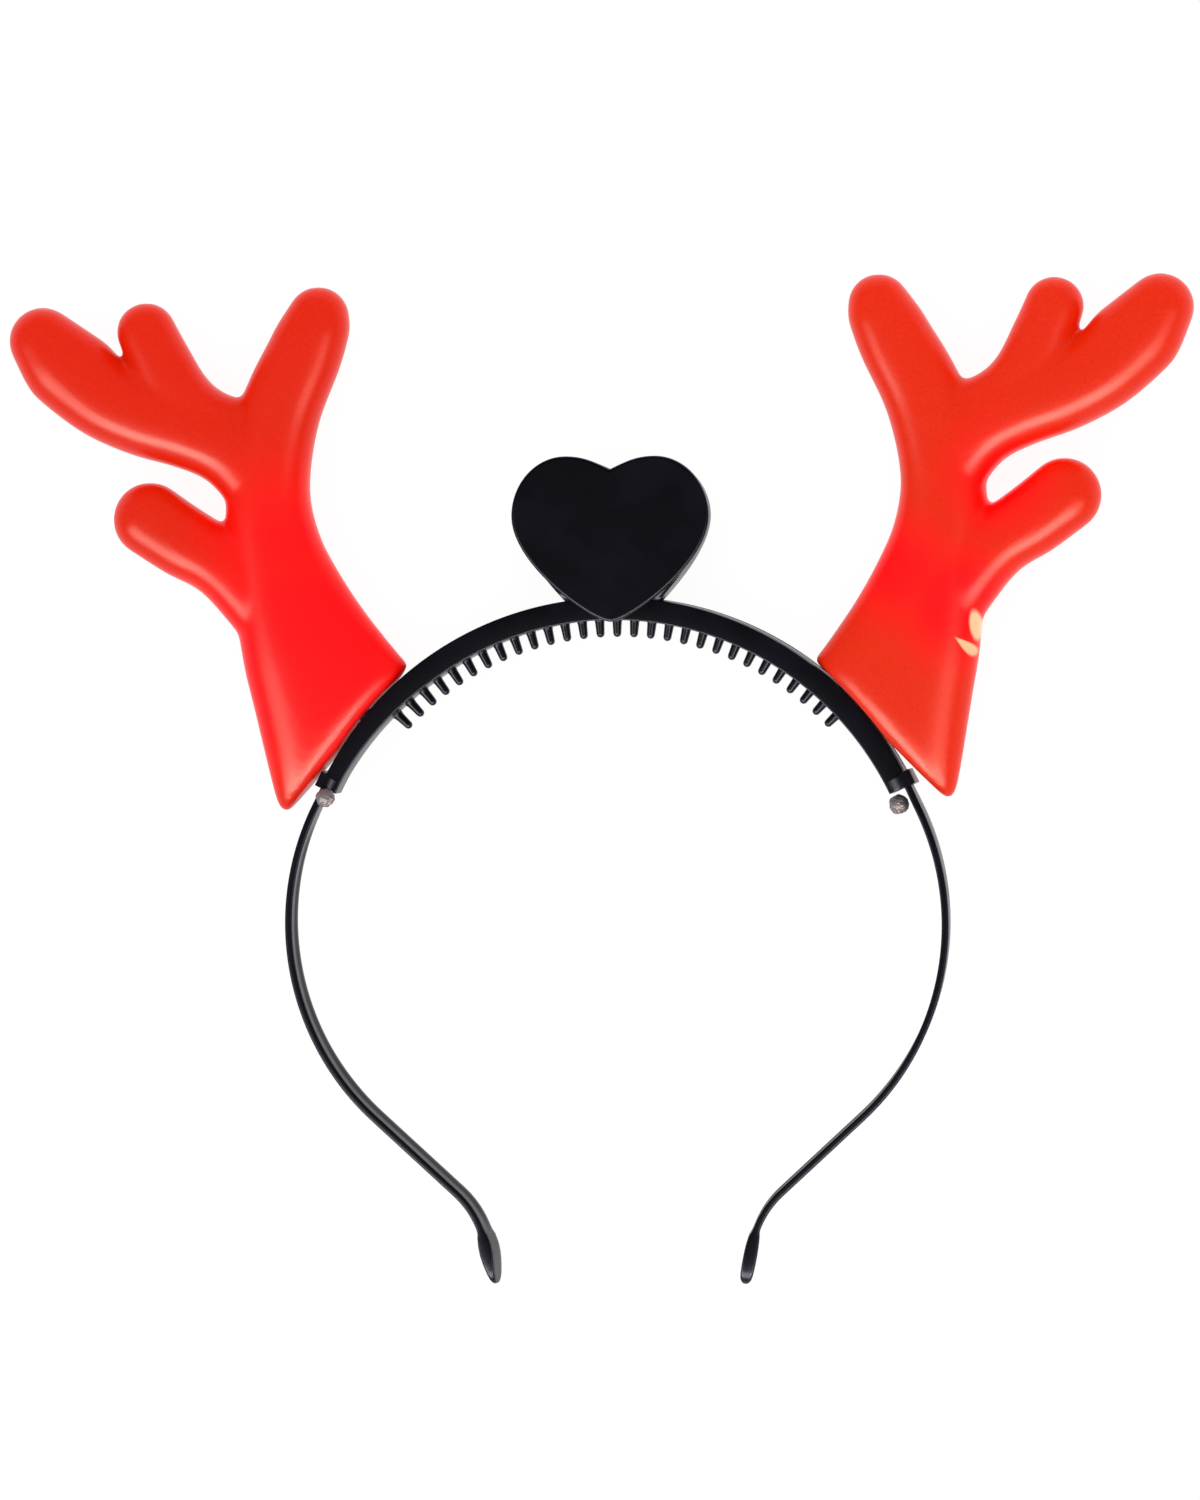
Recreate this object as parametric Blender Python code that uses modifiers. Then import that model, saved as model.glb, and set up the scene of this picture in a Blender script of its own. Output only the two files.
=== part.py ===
"""Light-up reindeer antler headband, lying on its back.

Units are metres. X runs across the head, Y from the tips of the band up to the antlers, and Z
out of the front. The arch of the band is a circle, and every piece is drawn round its centre.
At the end the whole headband is set down, with the origin on the surface under its middle.
"""

import math
from collections import namedtuple

import bmesh
import bpy
import numpy as np
from mathutils import Matrix, Vector

MM = 0.001
GAP = 0.3 * MM

# Flat plastic band. Its arch is a circle, and each arm goes on below it to a thick tip.
ARCH_RADIUS = 60.0 * MM
ARCH_HALF_ANGLE = math.radians(64.5)
BAND_THICK = 1.3 * MM
BAND_CENTRE_RADIUS = ARCH_RADIUS - BAND_THICK / 2
BAND_CHAMFER = 0.25 * MM
ARCH_LENGTH = BAND_CENTRE_RADIUS * ARCH_HALF_ANGLE

# The strip is narrower where it lies in the channel, and each arm turns its inner face to the
# front. Both change between two distances along the band from the crown.
BAND_WIDTH_IN_CHANNEL = 4.8 * MM
BAND_WIDTH = 6.0 * MM
ARM_WIDENS = (ARCH_LENGTH + 0.5 * MM, ARCH_LENGTH + 5.0 * MM)
ARM_TWIST = math.radians(7.0)
ARM_TWISTS = (70.0 * MM, 125.0 * MM)

# One half of the band from the crown to the tip: the length of each run in millimetres, how
# far it turns towards the head in degrees, and its number of steps.
Run = namedtuple("Run", "length turn steps")
BAND_RUNS = (
    Run(ARCH_LENGTH / MM, math.degrees(ARCH_HALF_ANGLE), 14),
    Run(4.6, 0.0, 1),
    Run(61.0, 73.0, 14),
    Run(20.4, 0.0, 2),
    Run(10.9, -36.0, 6),
    Run(7.5, 0.0, 1),
)

# The thick paddle at each tip: distance from the tip and thickness in millimetres, and its
# width as a share of the arm's.
Paddle = namedtuple("Paddle", "from_tip thick width")
PADDLE = (
    Paddle(10.0, BAND_THICK / MM, 1.0),
    Paddle(8.8, 2.1, 1.02),
    Paddle(5.5, 2.5, 1.06),
    Paddle(2.6, 2.4, 1.0),
    Paddle(0.9, 2.0, 0.8),
    Paddle(0.0, 1.1, 0.42),
)

# U-shaped channel round the inner side of the arch, open outwards, where the band lies in it.
# It is thinner at its left end.
CHANNEL_WIDTH = 8.8 * MM
CHANNEL_END_WIDTH = 7.2 * MM
CHANNEL_DEEP = 4.1 * MM
CHANNEL_LEFT_END_DEEP = 3.1 * MM
LEFT_END_THINS = (math.radians(-61.0), math.radians(-36.0))
CHANNEL_WALL = 0.9 * MM
CHANNEL_STEPS = 43
COLLAR_LENGTH = 2.6 * MM
COLLAR_THICK = 0.7 * MM
COLLAR_PROUD = 0.15 * MM

# Comb teeth on the channel's inner face.
TOOTH_COUNT = 29
TOOTH_PITCH = math.radians(3.31)
TOOTH_TIP_RADIUS = 52.7 * MM
TOOTH_WIDTH = 1.5 * MM
TOOTH_DEEP = 2.4 * MM
TOOTH_TAPER = 0.8
TOOTH_Z = -2.4 * MM
TOOTH_SIDES = 8

# Heart-shaped box on the crown. Each outline is one half, in millimetres from the arch's centre.
# The case is a little smaller than its cover, but stands on the arch with a broad foot.
HeartPoint = namedtuple("HeartPoint", "x y before_x before_y after_x after_y")
CASE_OUTLINE = (
    HeartPoint(0.0, 82.9, -2.8, 84.2, 2.8, 84.2),
    HeartPoint(7.9, 85.1, 4.8, 85.1, 12.9, 85.1),
    HeartPoint(17.4, 74.8, 17.4, 80.4, 17.4, 68.4),
    HeartPoint(0.0, 51.5, 9.6, 59.3, -9.6, 59.3),
)
COVER_OUTLINE = (
    HeartPoint(0.0, 83.3, -2.9, 84.7, 2.9, 84.7),
    HeartPoint(8.2, 85.7, 4.9, 85.7, 13.6, 85.7),
    HeartPoint(18.1, 74.8, 18.1, 80.8, 18.1, 66.4),
    HeartPoint(0.0, 55.5, 9.1, 61.5, -9.1, 61.5),
)
HEART_MIDDLE_Y = 71.0 * MM
HEART_STEPS = 6
CASE_BACK_Z = -2.6 * MM
CASE_FRONT_Z = CHANNEL_WIDTH / 2
CASE_WALL = 1.4 * MM
COVER_THICK = 1.6 * MM
COVER_BEVEL = 0.45 * MM

# Soft hollow antler, the right one. Each branch is a row of sections, and a section runs from a
# point on one edge of the branch to the point across it, in millimetres from the arch's centre.
Section = namedtuple("Section", "x1 y1 x2 y2 half_thick")
STEM = (
    Section(36.8, 47.8, 60.4, 23.1, 4.6),
    Section(36.6, 48.6, 61.3, 23.3, 5.9),
    Section(37.0, 49.3, 62.2, 24.6, 6.8),
    Section(38.3, 50.8, 63.2, 29.3, 7.7),
    Section(43.8, 58.6, 65.3, 41.7, 8.1),
    Section(48.2, 66.2, 66.8, 50.7, 8.0),
    Section(51.4, 73.6, 68.0, 65.5, 7.8),
    Section(52.5, 82.0, 68.1, 79.6, 7.6),
    Section(50.2, 93.0, 65.0, 95.5, 7.3),
    Section(45.6, 103.1, 62.1, 102.5, 7.1),
    Section(43.6, 108.6, 58.1, 109.1, 6.9),
    Section(43.0, 111.0, 56.7, 111.4, 6.7),
    Section(43.1, 112.7, 54.9, 113.0, 6.4),
)
LONG_TINE = (
    Section(54.5, 85.5, 67.0, 79.2, 6.8),
    Section(60.5, 93.5, 71.2, 84.3, 7.2),
    Section(68.5, 98.8, 76.8, 87.2, 7.4),
    Section(77.5, 103.0, 85.3, 90.2, 7.5),
    Section(84.4, 106.4, 93.5, 94.5, 7.4),
    Section(88.3, 110.6, 100.6, 100.4, 7.2),
    Section(91.3, 113.0, 103.3, 103.8, 7.1),
    Section(95.2, 116.2, 105.0, 107.4, 6.7),
)
SHORT_TINE = (
    Section(61.5, 98.0, 72.5, 88.9, 5.6),
    Section(67.0, 100.2, 78.3, 95.2, 6.3),
    Section(70.4, 103.4, 82.3, 100.2, 6.6),
    Section(73.5, 109.4, 84.5, 106.6, 6.3),
    Section(75.5, 113.6, 86.1, 111.3, 5.9),
)
LOWER_TINE = (
    Section(55.5, 67.0, 63.5, 50.4, 6.6),
    Section(61.0, 72.0, 68.3, 57.4, 6.9),
    Section(67.5, 75.5, 73.8, 64.2, 6.8),
    Section(73.4, 79.6, 80.0, 68.0, 6.6),
    Section(78.7, 83.8, 86.0, 72.3, 6.3),
)
SECTION_SIDES = 20
SECTION_SQUARENESS = 2.2
SECTION_STEPS = 4
TIP_RINGS = 4
ANTLER_VOXEL = 0.8 * MM
ANTLER_SMOOTHING = 9
ANTLER_KEPT_FACES = 0.044
ANTLER_WALL = 1.2 * MM

# The left antler is the right one's mirror image, glued on a little further round the arch and
# leaning a little further outwards over its own base.
ANTLER_SWING_LEFT = math.radians(1.5)
ANTLER_LEAN_LEFT = math.radians(1.9)
ANTLER_BASE = (48.7 * MM, 35.3 * MM)

# Lamp inside each antler, on a plain post that stands on the arch.
LAMP_ANGLE = math.radians(50.0)
POST_RADIUS = 1.4 * MM
POST_LENGTH = 16.5 * MM
POST_HOLE_RADIUS = 2.0 * MM
LAMP_RADIUS = 2.5 * MM
LAMP_BARREL = 5.0 * MM
ROUND_SIDES = 12

# Rough lump of glue at each end of the channel. The right one closes the end under the band,
# and the left one is smeared on its front. Angles are from the crown in degrees, and the rest
# is in millimetres.
Blob = namedtuple("Blob", "name side ring_radius angle z radius half_thick")
BLOBS = (
    Blob("glue_blob_right", 1, 56.3, 66.85, 0.0, 1.8, 1.8),
    Blob("glue_blob_left", -1, 58.0, 65.7, 5.55, 1.7, 1.35),
)
BLOB_ROUGHNESS = 0.09

ANTLER_RED = (0.83, 0.045, 0.012)
BLACK = (0.014, 0.014, 0.017)
GLUE_GREY = (0.32, 0.29, 0.30)
LAMP_PALE = (0.9, 0.62, 0.45)


def clear_scene():
    for obj in list(bpy.data.objects):
        bpy.data.objects.remove(obj)


def new_collection(name):
    collection = bpy.data.collections.new(name)
    bpy.context.scene.collection.children.link(collection)
    return collection


def plastic(name, color, roughness, alpha=1.0):
    """A plain moulded plastic."""
    material = bpy.data.materials.new(name)
    material.use_nodes = True
    shader = material.node_tree.nodes["Principled BSDF"]
    shader.inputs["Base Color"].default_value = (*color, 1.0)
    shader.inputs["Roughness"].default_value = roughness
    shader.inputs["Metallic"].default_value = 0.0
    shader.inputs["Alpha"].default_value = alpha
    material.diffuse_color = (*color, alpha)
    return material


def place(name, bm, material, collection):
    """Makes an object of a bmesh, with its faces pointing outwards."""
    bmesh.ops.recalc_face_normals(bm, faces=bm.faces)
    mesh = bpy.data.meshes.new(name)
    bm.to_mesh(mesh)
    bm.free()
    if material:
        mesh.materials.append(material)
    obj = bpy.data.objects.new(name, mesh)
    collection.objects.link(obj)
    return obj


def as_cutter(obj):
    obj.hide_render = True
    obj.display_type = "WIRE"
    return obj


def add_boolean(obj, other, operation):
    modifier = obj.modifiers.new(f"{operation.lower()} {other.name}", "BOOLEAN")
    modifier.operation = operation
    modifier.solver = "EXACT"
    modifier.object = other


def smooth_shading(obj, degrees):
    obj.data.shade_smooth()
    obj.data.set_sharp_from_angle(angle=math.radians(degrees))


def add_loft(bm, rings):
    """Adds one closed body through rings that have the same number of points."""
    loops = [[bm.verts.new(point) for point in ring] for ring in rings]
    for near, far in zip(loops, loops[1:]):
        for i in range(len(near)):
            bm.faces.new((near[i - 1], near[i], far[i], far[i - 1]))
    bm.faces.new(loops[0])
    bm.faces.new(loops[-1])


def arch_direction(angle):
    """The unit vector from the arch's centre at this angle from the crown, towards +X."""
    return Vector((math.sin(angle), math.cos(angle), 0.0))


def band_at(distance):
    """Centre and heading of the right half of the band, this far from the crown."""
    point = Vector((0.0, BAND_CENTRE_RADIUS, 0.0))
    heading = 0.0
    for run in BAND_RUNS:
        length = run.length * MM
        step = min(distance, length)
        half_turn = math.radians(run.turn) * step / length / 2
        chord = step if half_turn == 0 else step * math.sin(half_turn) / half_turn
        heading -= half_turn
        point += chord * Vector((math.cos(heading), math.sin(heading), 0.0))
        heading -= half_turn
        distance -= step
    return point, heading


def band_ring(distance, length):
    """The strip's section, turned by the twist of the arm, with chamfered edges."""
    point, heading = band_at(distance)
    from_tip = (length - distance) / MM
    rows = PADDLE[::-1]
    places = [row.from_tip for row in rows]
    half_thick = np.interp(from_tip, places, [row.thick for row in rows]) * MM / 2
    width = np.interp(distance, ARM_WIDENS, (BAND_WIDTH_IN_CHANNEL, BAND_WIDTH))
    half_width = width * np.interp(from_tip, places, [row.width for row in rows]) / 2
    twist = np.interp(distance, ARM_TWISTS, (0.0, ARM_TWIST))
    outward = Vector((-math.sin(heading), math.cos(heading), 0.0))
    front = Vector((0, 0, 1))
    across = front * math.cos(twist) + outward * math.sin(twist)
    through = outward * math.cos(twist) - front * math.sin(twist)
    w, t, c = half_width, half_thick, BAND_CHAMFER
    corners = ((w - c, t), (w, t - c), (w, c - t), (w - c, -t),
               (c - w, -t), (-w, c - t), (-w, t - c), (c - w, t))
    return [point + across * a + through * b for a, b in corners]


def mirrored(points):
    return [Vector((-p.x, p.y, p.z)) for p in points]


def make_band(collection, material):
    """The strip from tip to tip, lofted through the sections of both halves."""
    length = sum(run.length for run in BAND_RUNS) * MM
    paddle_starts = length - PADDLE[0].from_tip * MM
    stations = [0.0]
    start = 0.0
    for run in BAND_RUNS:
        stations += [start + run.length * MM * (i + 1) / run.steps for i in range(run.steps)]
        start += run.length * MM
    stations = [s for s in stations if s < paddle_starts - BAND_THICK]
    stations += [length - row.from_tip * MM for row in PADDLE]
    right = [band_ring(s, length) for s in stations]
    left = [mirrored(ring) for ring in reversed(right[1:])]
    bm = bmesh.new()
    add_loft(bm, left + right)
    band = place("band", bm, material, collection)
    smooth_shading(band, 30)
    return band


def make_comb(cutters):
    """The row of comb teeth. Their roots reach into the channel's floor, which they join."""
    root_radius = ARCH_RADIUS - CHANNEL_DEEP + CHANNEL_WALL / 2
    length = root_radius - TOOTH_TIP_RADIUS
    cap = TOOTH_WIDTH * 0.35
    bm = bmesh.new()
    for i in range(TOOTH_COUNT):
        angle = (i - (TOOTH_COUNT - 1) / 2) * TOOTH_PITCH
        turn = Matrix.Rotation(-angle, 4, "Z")
        rings = []
        for along, size in ((0.0, 1.0), (length - cap, TOOTH_TAPER), (length, TOOTH_TAPER * 0.5)):
            ring = []
            for side in range(TOOTH_SIDES):
                around = math.tau * (side + 0.5) / TOOTH_SIDES
                ring.append(turn @ Vector((TOOTH_WIDTH / 2 * size * math.cos(around),
                                           root_radius - along,
                                           TOOTH_Z + TOOTH_DEEP / 2 * size * math.sin(around))))
            rings.append(ring)
        add_loft(bm, rings)
    return as_cutter(place("comb_teeth", bm, None, cutters))


def channel_half_width(angle):
    """The channel is widest at the crown and narrows evenly to its ends."""
    share = min(abs(angle) / ARCH_HALF_ANGLE, 1.0)
    return (CHANNEL_WIDTH + (CHANNEL_END_WIDTH - CHANNEL_WIDTH) * share) / 2


def arch_ring(angle, profile):
    """Points of a profile of (radius, z), at this angle from the crown."""
    return [arch_direction(angle) * radius + Vector((0, 0, z)) for radius, z in profile]


def make_collar(side, cutters):
    """A bridge over the band at one end of the channel. Its feet stand in the side walls, and
    it stands a little proud of the channel's sides and end."""
    low = ARCH_RADIUS + GAP
    high = low + COLLAR_THICK
    foot = ARCH_RADIUS - CHANNEL_WALL
    start = ARCH_HALF_ANGLE - COLLAR_LENGTH / ARCH_RADIUS
    rings = []
    for angle in (start, ARCH_HALF_ANGLE + COLLAR_PROUD / ARCH_RADIUS):
        outer = channel_half_width(angle) + COLLAR_PROUD
        inside = outer - CHANNEL_WALL
        profile = ((high, -outer), (high, outer), (foot, outer), (foot, inside), (low, inside),
                   (low, -inside), (foot, -inside), (foot, -outer))
        rings.append(arch_ring(side * angle, profile))
    bm = bmesh.new()
    add_loft(bm, rings)
    name = "collar_right" if side > 0 else "collar_left"
    return as_cutter(place(name, bm, None, cutters))


def make_channel(collection, cutters, material):
    """U-shaped channel with its comb, and a collar at each end that closes over the band."""
    rings = []
    for i in range(CHANNEL_STEPS + 1):
        angle = ARCH_HALF_ANGLE * (2 * i / CHANNEL_STEPS - 1)
        inner = ARCH_RADIUS - np.interp(angle, LEFT_END_THINS, (CHANNEL_LEFT_END_DEEP, CHANNEL_DEEP))
        floor = inner + CHANNEL_WALL
        half = channel_half_width(angle)
        inside = half - CHANNEL_WALL
        profile = ((inner, -half), (ARCH_RADIUS, -half), (ARCH_RADIUS, -inside),
                   (floor, -inside), (floor, inside), (ARCH_RADIUS, inside),
                   (ARCH_RADIUS, half), (inner, half))
        rings.append(arch_ring(angle, profile))
    bm = bmesh.new()
    add_loft(bm, rings)
    channel = place("comb_channel", bm, material, collection)
    for side in (-1, 1):
        add_boolean(channel, make_collar(side, cutters), "UNION")
    add_boolean(channel, make_comb(cutters), "UNION")
    smooth_shading(channel, 30)
    return channel


def make_arch_cutter(name, cutters, radius, deep):
    """A drum round the arch's axis, which leaves room for the arch under what stands on it."""
    bm = bmesh.new()
    bmesh.ops.create_cone(bm, cap_ends=True, segments=180, radius1=radius, radius2=radius,
                          depth=deep)
    return as_cutter(place(name, bm, None, cutters))


def heart_mesh(name, outline, inset, z_low, z_high, material, collection):
    """A heart-shaped block: a flat outline with a thickness, made a mesh."""
    curve = bpy.data.curves.new(name, "CURVE")
    curve.dimensions = "2D"
    curve.fill_mode = "BOTH"
    curve.extrude = (z_high - z_low) / 2
    curve.resolution_u = HEART_STEPS
    shrink = 1 - inset / (max(p.x for p in outline) * MM)
    middle = HEART_MIDDLE_Y / MM
    half = [((p.x, p.y), (p.before_x, p.before_y), (p.after_x, p.after_y)) for p in outline]
    other = [((-x, y), (-ax, ay), (-bx, by)) for (x, y), (bx, by), (ax, ay) in half[2:0:-1]]
    spline = curve.splines.new("BEZIER")
    spline.bezier_points.add(len(half) + len(other) - 1)
    spline.use_cyclic_u = True
    for point, (co, before, after) in zip(spline.bezier_points, half + other):
        point.handle_left_type = point.handle_right_type = "FREE"
        for key, (x, y) in (("co", co), ("handle_left", before), ("handle_right", after)):
            setattr(point, key, (x * shrink * MM, (middle + (y - middle) * shrink) * MM, 0.0))
    block = bpy.data.objects.new(name, curve)
    block.location.z = (z_high + z_low) / 2
    collection.objects.link(block)
    bpy.context.view_layer.update()
    graph = bpy.context.evaluated_depsgraph_get()
    mesh = bpy.data.meshes.new_from_object(block.evaluated_get(graph))
    bm = bmesh.new()
    bm.from_mesh(mesh)
    bm.transform(block.matrix_world)
    bmesh.ops.remove_doubles(bm, verts=bm.verts, dist=0.01 * MM)
    bpy.data.objects.remove(block)
    bpy.data.meshes.remove(mesh)
    return place(name, bm, material, collection)


def make_heart(collection, cutters, material):
    """A heart-shaped cup that stands on the arch, and its cover in front of the arch."""
    case = heart_mesh("heart_case", CASE_OUTLINE, 0.0, CASE_BACK_Z, CASE_FRONT_Z, material,
                      collection)
    cavity = as_cutter(heart_mesh("heart_cavity", CASE_OUTLINE, CASE_WALL, CASE_BACK_Z + CASE_WALL,
                                  CASE_FRONT_Z + CASE_WALL, None, cutters))
    deep = 30 * MM
    seat = make_arch_cutter("heart_seat", cutters, ARCH_RADIUS + GAP, deep)
    cavity_floor = make_arch_cutter("heart_cavity_floor", cutters,
                                    ARCH_RADIUS + GAP + CASE_WALL, deep)
    add_boolean(cavity, cavity_floor, "DIFFERENCE")
    add_boolean(case, seat, "DIFFERENCE")
    add_boolean(case, cavity, "DIFFERENCE")
    smooth_shading(case, 30)

    front = CASE_FRONT_Z + GAP
    cover = heart_mesh("heart_cover", COVER_OUTLINE, 0.0, front, front + COVER_THICK, material,
                       collection)
    bevel = cover.modifiers.new("soft edge", "BEVEL")
    bevel.width = COVER_BEVEL
    bevel.segments = 2
    bevel.limit_method = "ANGLE"
    bevel.angle_limit = math.radians(60)
    smooth_shading(cover, 30)


def smooth_rows(rows, steps):
    """Adds rows between those of a table, on a smooth curve through them all."""
    table = np.array(rows, float)
    padded = np.vstack((2 * table[0] - table[1], table, 2 * table[-1] - table[-2]))
    result = [table[0]]
    for i in range(1, len(padded) - 2):
        a, b, c, d = padded[i - 1:i + 3]
        for step in range(1, steps + 1):
            t = step / steps
            result.append(0.5 * (2 * b + (c - a) * t + (2 * a - 5 * b + 4 * c - d) * t * t
                                 + (3 * b - a - 3 * c + d) * t ** 3))
    return [Section(*row) for row in result]


def section_ring(middle, half_across, half_thick):
    """A rounded section whose faces are flatter than an ellipse's."""
    power = 2 / SECTION_SQUARENESS
    ring = []
    for side in range(SECTION_SIDES):
        around = math.tau * side / SECTION_SIDES
        c, s = math.cos(around), math.sin(around)
        across = math.copysign(abs(c) ** power, c)
        through = math.copysign(abs(s) ** power, s)
        ring.append(middle + half_across * across + Vector((0, 0, half_thick * through)))
    return ring


def add_branch(bm, rows):
    """One branch of an antler, with a round tip past its last section."""
    rings = []
    previous = None
    for row in smooth_rows(rows, SECTION_STEPS):
        near = Vector((row.x1, row.y1, 0)) * MM
        far = Vector((row.x2, row.y2, 0)) * MM
        middle = (near + far) / 2
        half_across = (far - near) / 2
        rings.append(section_ring(middle, half_across, row.half_thick * MM))
        if previous:
            heading = (middle - previous).normalized()
        previous = middle
    # The tip goes on straight across the last section, not along a crooked heading.
    onward = Vector((-half_across.y, half_across.x, 0)).normalized()
    onward *= math.copysign(half_across.length, onward.dot(heading))
    for i in range(1, TIP_RINGS + 1):
        angle = math.pi / 2 * i / (TIP_RINGS + 0.5)
        rings.append(section_ring(middle + onward * math.sin(angle),
                                  half_across * math.cos(angle),
                                  row.half_thick * MM * math.cos(angle)))
    add_loft(bm, rings)


def make_antler(side, swing, room, collection, cutters, material):
    """Hollow antler: branches fused to one smooth skin, with a wall and a hole for the post."""
    bm = bmesh.new()
    for rows in (STEM, LONG_TINE, SHORT_TINE, LOWER_TINE):
        add_branch(bm, rows)
    name = "antler_right" if side > 0 else "antler_left"
    if side < 0:
        base = Matrix.Translation((*ANTLER_BASE, 0))
        lean = base @ Matrix.Rotation(-ANTLER_LEAN_LEFT, 4, "Z") @ base.inverted()
        bm.transform(Matrix.Scale(-1, 4, (1, 0, 0)) @ lean)
    antler = place(name, bm, material, collection)
    antler.rotation_euler.z = swing

    def add_remesh(label):
        remesh = antler.modifiers.new(label, "REMESH")
        remesh.mode = "VOXEL"
        remesh.voxel_size = ANTLER_VOXEL
        remesh.use_smooth_shade = True

    add_remesh("fuse the branches")
    add_boolean(antler, room, "DIFFERENCE")
    add_remesh("even skin")
    smooth = antler.modifiers.new("soft edges", "SMOOTH")
    smooth.iterations = ANTLER_SMOOTHING
    smooth.factor = 0.5
    fewer = antler.modifiers.new("fewer faces", "DECIMATE")
    fewer.ratio = ANTLER_KEPT_FACES
    wall = antler.modifiers.new("wall", "SOLIDIFY")
    wall.thickness = ANTLER_WALL
    wall.offset = -1
    wall.use_even_offset = True

    hole = make_rod(f"post_hole_{name}", side, -CHANNEL_DEEP, POST_LENGTH / 2, POST_HOLE_RADIUS,
                    None, cutters)
    add_boolean(antler, as_cutter(hole), "DIFFERENCE")
    return antler


def stand_on_arch(bm, side, height):
    """Moves a body drawn up the Z axis to the lamp's line, this far over the arch."""
    direction = arch_direction(side * LAMP_ANGLE)
    turn = direction.to_track_quat("Z", "Y").to_matrix().to_4x4()
    bm.transform(Matrix.Translation(direction * (ARCH_RADIUS + height)) @ turn)


def make_rod(name, side, start, end, radius, material, collection):
    """A round rod on the lamp's line, between two heights over the arch."""
    bm = bmesh.new()
    bmesh.ops.create_cone(bm, cap_ends=True, segments=ROUND_SIDES, radius1=radius,
                          radius2=radius, depth=end - start)
    stand_on_arch(bm, side, (start + end) / 2)
    rod = place(name, bm, material, collection)
    smooth_shading(rod, 40)
    return rod


def make_lamp(side, collection, post_material, lamp_material):
    """A 5 mm lamp with a domed end, on its plain post."""
    name = "right" if side > 0 else "left"
    make_rod(f"lamp_post_{name}", side, GAP, POST_LENGTH, POST_RADIUS, post_material, collection)
    rings = []
    for along, size in ((0.0, 1.0), (LAMP_BARREL, 1.0), (LAMP_BARREL + LAMP_RADIUS * 0.5, 0.87),
                        (LAMP_BARREL + LAMP_RADIUS * 0.87, 0.5), (LAMP_BARREL + LAMP_RADIUS, 0.15)):
        rings.append([Vector((LAMP_RADIUS * size * math.cos(math.tau * i / ROUND_SIDES),
                              LAMP_RADIUS * size * math.sin(math.tau * i / ROUND_SIDES), along))
                      for i in range(ROUND_SIDES)])
    bm = bmesh.new()
    add_loft(bm, rings)
    stand_on_arch(bm, side, POST_LENGTH + GAP)
    smooth_shading(place(f"lamp_{name}", bm, lamp_material, collection), 40)


def make_blob(blob, collection, material):
    """A rough lump of set glue, close to the end of the channel and to the band."""
    middle = arch_direction(blob.side * math.radians(blob.angle)) * blob.ring_radius * MM
    middle.z = blob.z * MM
    bm = bmesh.new()
    bmesh.ops.create_icosphere(bm, subdivisions=2, radius=blob.radius * MM)
    for vert in bm.verts:
        ripple = math.sin(5.1 * vert.co.x / MM + blob.side) * math.cos(4.3 * vert.co.y / MM)
        vert.co *= 1 + BLOB_ROUGHNESS * ripple
        vert.co.z *= blob.half_thick / blob.radius
    bm.transform(Matrix.Translation(middle))
    place(blob.name, bm, material, collection)


def set_down(parts, helpers):
    """Puts the origin on the surface under the middle of the headband."""
    bpy.context.view_layer.update()
    graph = bpy.context.evaluated_depsgraph_get()
    corners = []
    for obj in parts.objects:
        evaluated = obj.evaluated_get(graph)
        mesh = evaluated.to_mesh()
        points = np.empty(len(mesh.vertices) * 3, np.float32)
        mesh.vertices.foreach_get("co", points)
        world = np.array(evaluated.matrix_world)
        points = points.reshape(-1, 3) @ world[:3, :3].T + world[:3, 3]
        evaluated.to_mesh_clear()
        corners += [points.min(axis=0), points.max(axis=0)]
    low, high = np.min(corners, axis=0), np.max(corners, axis=0)
    arch_centre = bpy.data.objects.new("arch_centre", None)
    parts.objects.link(arch_centre)
    for obj in (*parts.objects, *helpers.objects):
        if obj != arch_centre:
            obj.parent = arch_centre
    arch_centre.location = (-(low[0] + high[0]) / 2, -(low[1] + high[1]) / 2, -low[2])
    bpy.context.view_layer.update()


def main():
    clear_scene()
    parts = new_collection("antler_headband")
    cutters = new_collection("cutters")
    black = plastic("black_plastic", BLACK, 0.42)
    red = plastic("red_soft_plastic", ANTLER_RED, 0.38)
    glue = plastic("grey_glue", GLUE_GREY, 0.7)
    lamp = plastic("lamp_lens", LAMP_PALE, 0.2)

    make_band(parts, black)
    make_channel(parts, cutters, black)
    make_heart(parts, cutters, black)
    room = make_arch_cutter("antler_seat", cutters, ARCH_RADIUS + 1.5 * GAP, 30 * MM)
    for side, swing in ((1, 0.0), (-1, ANTLER_SWING_LEFT)):
        make_antler(side, swing, room, parts, cutters, red)
        make_lamp(side, parts, black, lamp)
    for blob in BLOBS:
        make_blob(blob, parts, glue)
    set_down(parts, cutters)


main()
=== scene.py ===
# %% [markdown]
# # Light-up reindeer antler headband
#
# A party headband lies on its back. A thin black strip carries a comb channel over its arch, a
# heart-shaped box for the cells stands on the crown, and two soft red antlers are lit from
# inside by a lamp each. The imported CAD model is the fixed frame, and every piece below is drawn
# from the same centre, the middle of the arch's circle, with X to the right, Y up and Z to the
# front.

import math
from collections import namedtuple

import bmesh
import bpy
from mathutils import Matrix, Vector, noise


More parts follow.
